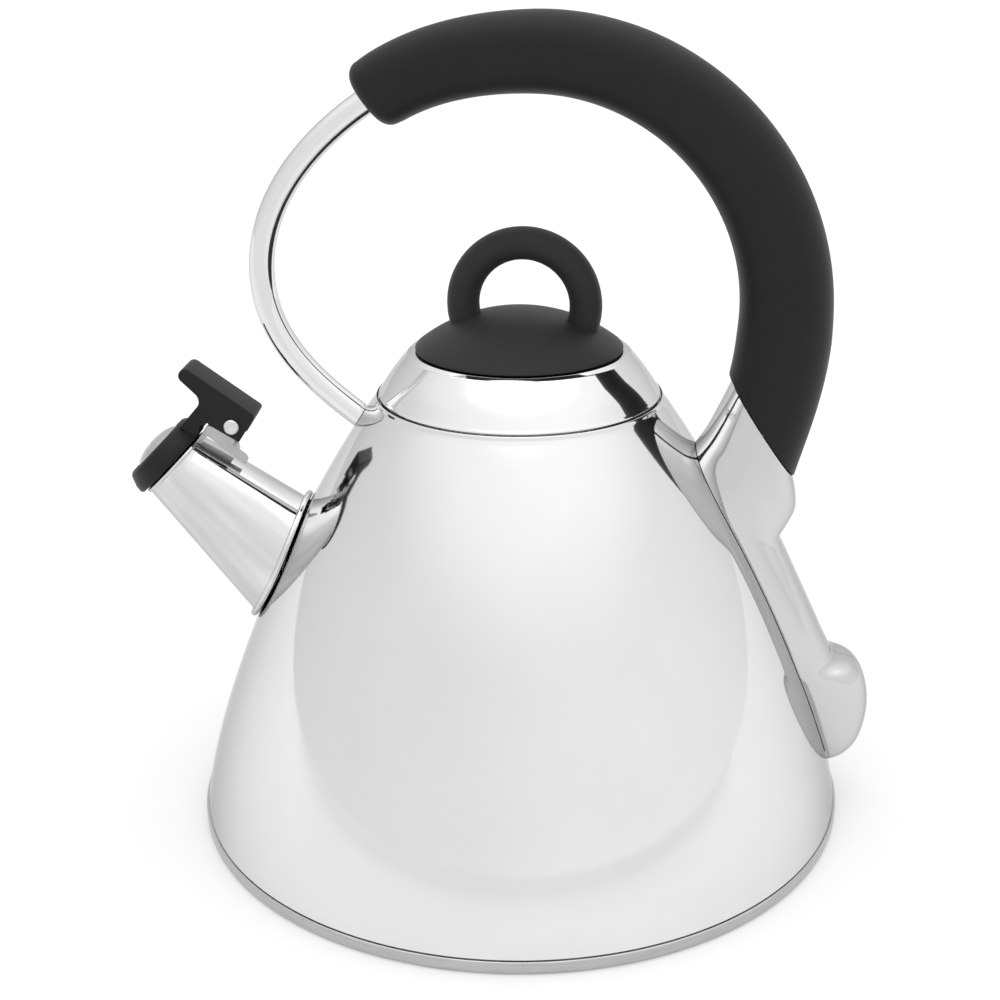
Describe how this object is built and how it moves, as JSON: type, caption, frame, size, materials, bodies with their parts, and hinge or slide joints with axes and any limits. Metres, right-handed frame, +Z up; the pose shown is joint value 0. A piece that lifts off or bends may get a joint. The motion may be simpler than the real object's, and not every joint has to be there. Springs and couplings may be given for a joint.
{
  "type": "stovetop whistling kettle",
  "caption": "Conical polished steel stovetop kettle with a lift-off lid, a sprung whistle cap on the spout and a fixed arched handle.",
  "frame": {"origin": "centre of the base's underside, where the kettle stands", "axes": "+Z up; the spout points to -X and the handle's rear bracket is at +X; the handle lies in the plane Y = 0"},
  "size_m": [0.2398, 0.2118, 0.2544],
  "materials": {
    "polished_steel": "mirror-polished stainless steel",
    "satin_steel": "satin stainless steel",
    "aluminium": "plain, not seen",
    "black_nylon": "fine-grained matt black nylon",
    "spring_steel": "drawn spring wire"
  },
  "bodies": {
    "kettle": {"body_shell": "polished_steel", "bottom_plate": "polished_steel", "heat_core": "aluminium", "base_cap": "satin_steel", "spout": "polished_steel", "hinge_bracket": "satin_steel", "hinge_pin": "satin_steel", "cap_spring": "spring_steel", "handle_rod": "polished_steel", "grip": "black_nylon", "bracket_near_half": "polished_steel", "bracket_far_half": "polished_steel"},
    "lid": {"lid_cover": "polished_steel", "lid_skirt": "polished_steel", "lid_knob": "black_nylon", "knob_screw": "satin_steel", "knob_washer": "satin_steel"},
    "cap": {"whistle_cap": "black_nylon", "whistle_front_disc": "polished_steel", "whistle_rear_disc": "polished_steel"}
  },
  "joints": [
    {"name": "cap_hinge", "type": "hinge", "parent": "kettle", "child": "cap", "pos_m": [-0.0909, 0, 0.1278], "axis": [0, 1, 0], "range_deg": [0, 60], "stiffness_Nm_per_rad": 0.04, "springref_deg": -28.65},
    {"name": "lid_lift", "type": "slide", "parent": "kettle", "child": "lid", "axis": [0, 0, 1], "range_m": [0, 0.03]}
  ]
}
